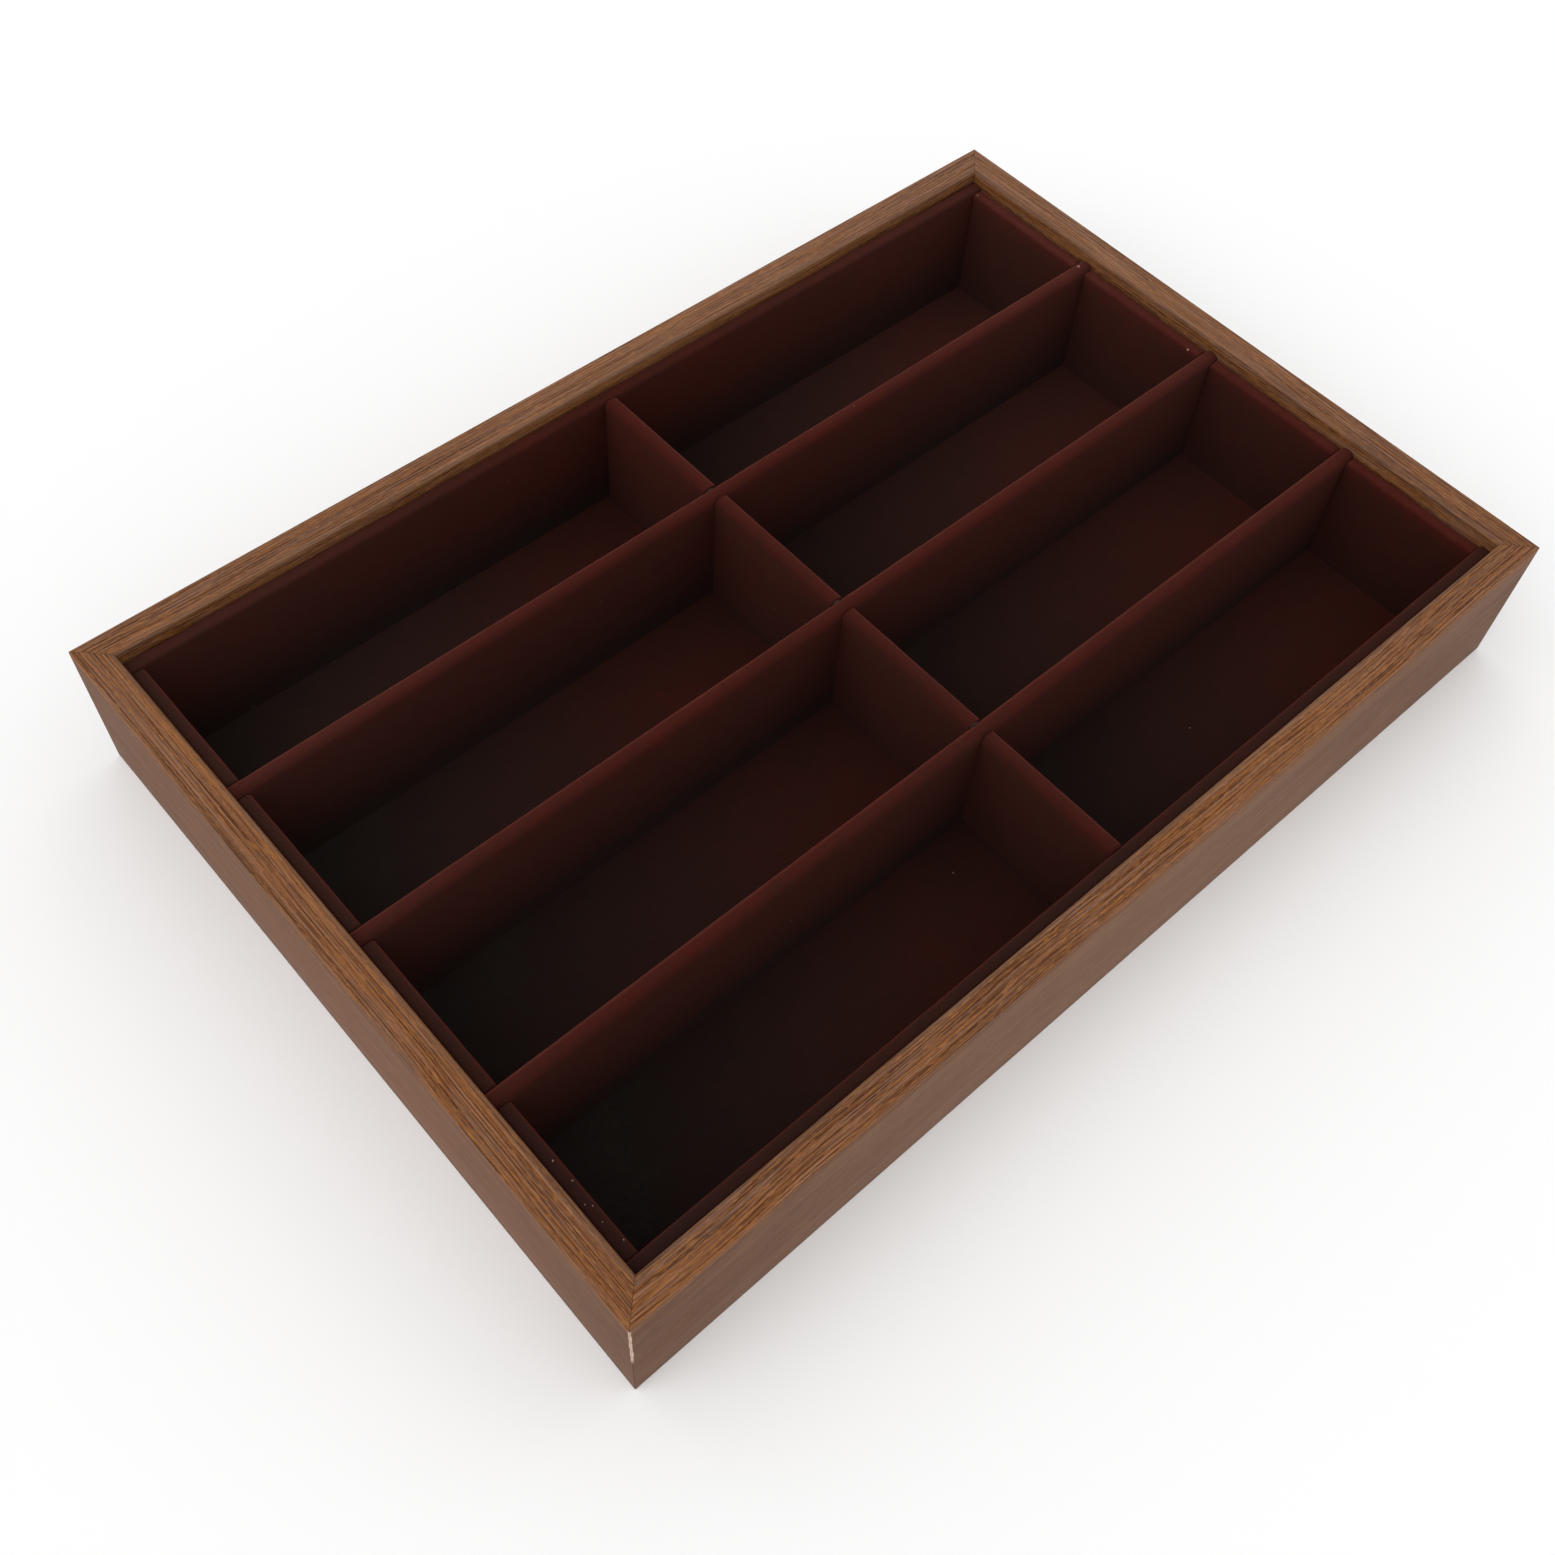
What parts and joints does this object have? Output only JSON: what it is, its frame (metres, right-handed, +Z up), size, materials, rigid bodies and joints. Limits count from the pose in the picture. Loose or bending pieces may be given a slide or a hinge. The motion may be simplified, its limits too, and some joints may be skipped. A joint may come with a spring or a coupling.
{
  "type": "sunglass organizer tray",
  "caption": "Shallow rectangular wood tray with mitred corners and a velvet-lined well, split into oblong compartments by a lift-out grid of velvet-covered dividers.",
  "frame": {"origin": "middle of the surface that the tray stands on, under the centre of the tray", "axes": "+X along the long rails, +Y from front to back, +Z up out of the well"},
  "size_m": [0.35, 0.24, 0.05],
  "materials": {
    "rail_wood": "satin walnut grain",
    "base_hardboard": "plain hardboard",
    "steel": "bright wire",
    "core_card": "raw grey card",
    "velvet": "short pile velvet"
  },
  "bodies": {
    "tray": {"front_rail": "rail_wood", "back_rail": "rail_wood", "left_rail": "rail_wood", "right_rail": "rail_wood", "corner_nail_front_left": "steel", "corner_nail_front_right": "steel", "corner_nail_back_right": "steel", "corner_nail_back_left": "steel", "base_board": "base_hardboard", "base_staple_front_1": "steel", "base_staple_front_2": "steel", "base_staple_front_3": "steel", "base_staple_back_1": "steel", "base_staple_back_2": "steel", "base_staple_back_3": "steel", "base_staple_left_1": "steel", "base_staple_left_2": "steel", "base_staple_right_1": "steel", "base_staple_right_2": "steel", "floor_velvet": "velvet", "front_liner_card": "core_card", "front_liner_velvet": "velvet", "back_liner_card": "core_card", "back_liner_velvet": "velvet", "left_liner_1_card": "core_card", "left_liner_1_velvet": "velvet", "left_liner_2_card": "core_card", "left_liner_2_velvet": "velvet", "left_liner_3_card": "core_card", "left_liner_3_velvet": "velvet", "left_liner_4_card": "core_card", "left_liner_4_velvet": "velvet", "right_liner_1_card": "core_card", "right_liner_1_velvet": "velvet", "right_liner_2_card": "core_card", "right_liner_2_velvet": "velvet", "right_liner_3_card": "core_card", "right_liner_3_velvet": "velvet", "right_liner_4_card": "core_card", "right_liner_4_velvet": "velvet"},
    "cross_divider": {"cross_divider_card": "core_card", "cross_divider_velvet": "velvet"},
    "front_divider": {"front_divider_card": "core_card", "front_divider_velvet": "velvet"},
    "middle_divider": {"middle_divider_card": "core_card", "middle_divider_velvet": "velvet"},
    "back_divider": {"back_divider_card": "core_card", "back_divider_velvet": "velvet"}
  },
  "joints": [
    {"name": "divider_grid_lift", "type": "slide", "parent": "tray", "child": "cross_divider", "axis": [0, 0, 1], "range_m": [0, 0.0424]},
    {"name": "front_divider_lift", "type": "slide", "parent": "cross_divider", "child": "front_divider", "axis": [0, 0, 1], "range_m": [0, 0.0424]},
    {"name": "middle_divider_lift", "type": "slide", "parent": "cross_divider", "child": "middle_divider", "axis": [0, 0, 1], "range_m": [0, 0.0424]},
    {"name": "back_divider_lift", "type": "slide", "parent": "cross_divider", "child": "back_divider", "axis": [0, 0, 1], "range_m": [0, 0.0424]}
  ]
}
